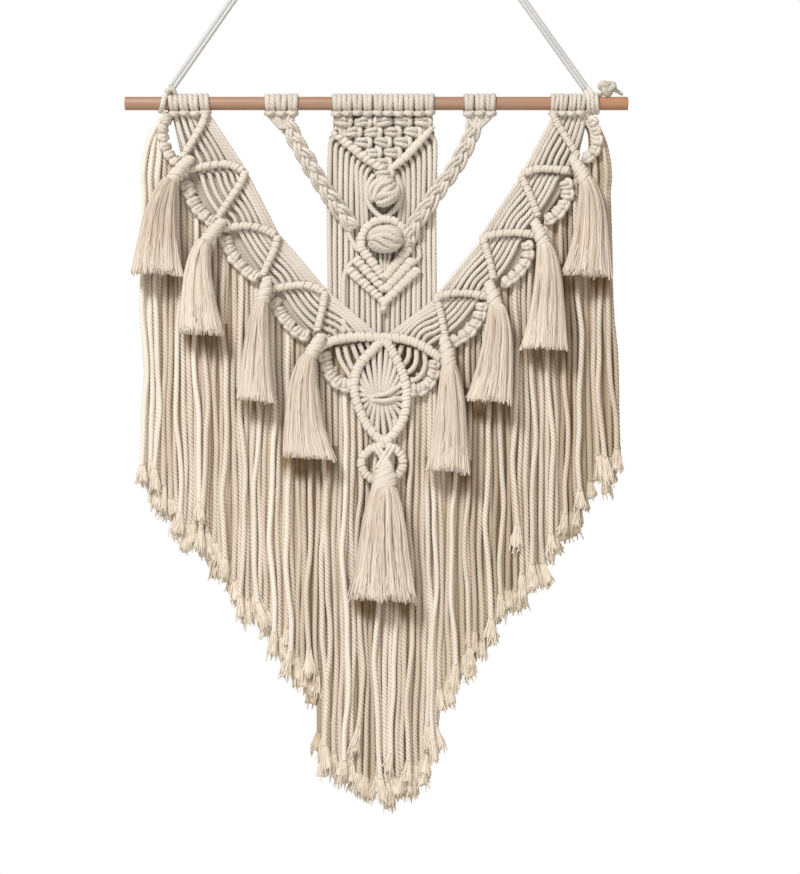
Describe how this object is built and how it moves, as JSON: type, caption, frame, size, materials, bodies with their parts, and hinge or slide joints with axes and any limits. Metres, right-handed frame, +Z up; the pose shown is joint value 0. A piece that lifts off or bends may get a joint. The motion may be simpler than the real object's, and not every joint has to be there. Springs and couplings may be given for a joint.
{
  "type": "macrame wall hanging on a wooden rod",
  "caption": "Knotted cotton cord hanging on a round wooden rod: netted centre, two scalloped wings, tassels and a long stepped fringe, hung by a cord.",
  "frame": {"origin": "the hanging point, where the cord passes over its nail", "axes": "+Z up, +X along the rod to the viewer's right, +Y into the wall; the face looks along -Y"},
  "size_m": [0.45, 0.0364, 0.9047],
  "materials": {
    "beech": "turned beech, bare",
    "hanging_cord": "cotton cord, cool grey-white",
    "cotton_cord": "twisted natural cotton cord",
    "knot_chain": "knotted natural cotton cord",
    "hitched_bar": "natural cotton cord, hitched in close turns",
    "tassel_thread": "combed natural cotton threads",
    "fringe_cord": "twisted natural cotton cord, cut ends opened"
  },
  "bodies": {
    "root": {"rod": "beech", "hanging_cord": "hanging_cord", "tie_left": "hanging_cord", "tie_right": "hanging_cord", "heading_left_wing": "cotton_cord", "heading_left_braid": "cotton_cord", "heading_centre": "cotton_cord", "heading_right_braid": "cotton_cord", "heading_right_wing": "cotton_cord", "wing_left": "cotton_cord", "wing_right": "cotton_cord", "chain_left_1": "knot_chain", "chain_left_2": "knot_chain", "chain_left_3": "knot_chain", "chain_left_4": "knot_chain", "chain_left_5": "knot_chain", "chain_right_1": "knot_chain", "chain_right_2": "knot_chain", "chain_right_3": "knot_chain", "chain_right_4": "knot_chain", "chain_right_5": "knot_chain", "bars_left_1": "hitched_bar", "bars_left_2": "hitched_bar", "bars_left_3": "hitched_bar", "bars_left_4": "hitched_bar", "bars_right_1": "hitched_bar", "bars_right_2": "hitched_bar", "bars_right_3": "hitched_bar", "bars_right_4": "hitched_bar", "arch": "hitched_bar", "tassel_left_1": "tassel_thread", "tassel_left_2": "tassel_thread", "tassel_left_3": "tassel_thread", "tassel_left_4": "tassel_thread", "tassel_right_1": "tassel_thread", "tassel_right_2": "tassel_thread", "tassel_right_3": "tassel_thread", "tassel_right_4": "tassel_thread", "tassel_centre": "tassel_thread", "net": "cotton_cord", "net_edge": "hitched_bar", "panel_left": "cotton_cord", "panel_right": "cotton_cord", "berry_upper": "cotton_cord", "berry_lower": "cotton_cord", "ring": "hitched_bar", "chevron_1": "hitched_bar", "chevron_2": "hitched_bar", "chevron_3": "hitched_bar", "braid_left": "cotton_cord", "braid_right": "cotton_cord", "leaf": "hitched_bar", "star": "cotton_cord", "star_tie": "hitched_bar", "lower_ring": "hitched_bar", "fringe_left": "fringe_cord", "fringe_centre": "fringe_cord", "fringe_right": "fringe_cord"}
  },
  "joints": []
}
